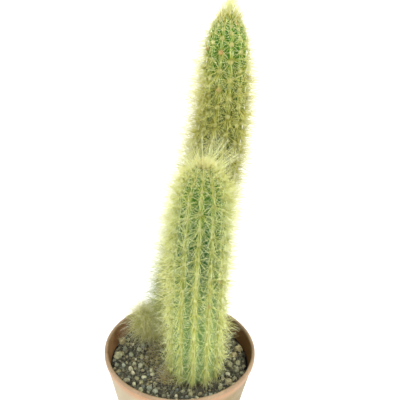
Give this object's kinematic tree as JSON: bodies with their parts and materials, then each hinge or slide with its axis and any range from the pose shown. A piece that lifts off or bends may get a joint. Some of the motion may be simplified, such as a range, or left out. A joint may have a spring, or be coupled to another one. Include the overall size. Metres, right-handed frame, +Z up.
{
  "type": "potted columnar cactus",
  "caption": "Columnar snake cactus with golden spines: a tall leaning stem, a shorter one and a young offset, in gritty soil in a round tapered nursery pot.",
  "frame": {"origin": "centre of the pot's flat underside, which rests on the surface", "axes": "+Z up along the pot's axis; -Y towards the side with the shorter stem; +X the way the tall stem leans"},
  "size_m": [0.105, 0.105, 0.3259],
  "materials": {
    "clay_plastic": "terracotta-coloured moulded plastic, satin",
    "gritty_soil": "dark peat with pale pumice grains, dry and rough",
    "spiny_flesh": "green waxy ribs under pale golden spines"
  },
  "bodies": {
    "root": {"pot": "clay_plastic", "soil": "gritty_soil", "stem_tall": "spiny_flesh", "stem_short": "spiny_flesh", "offset": "spiny_flesh"}
  },
  "joints": []
}
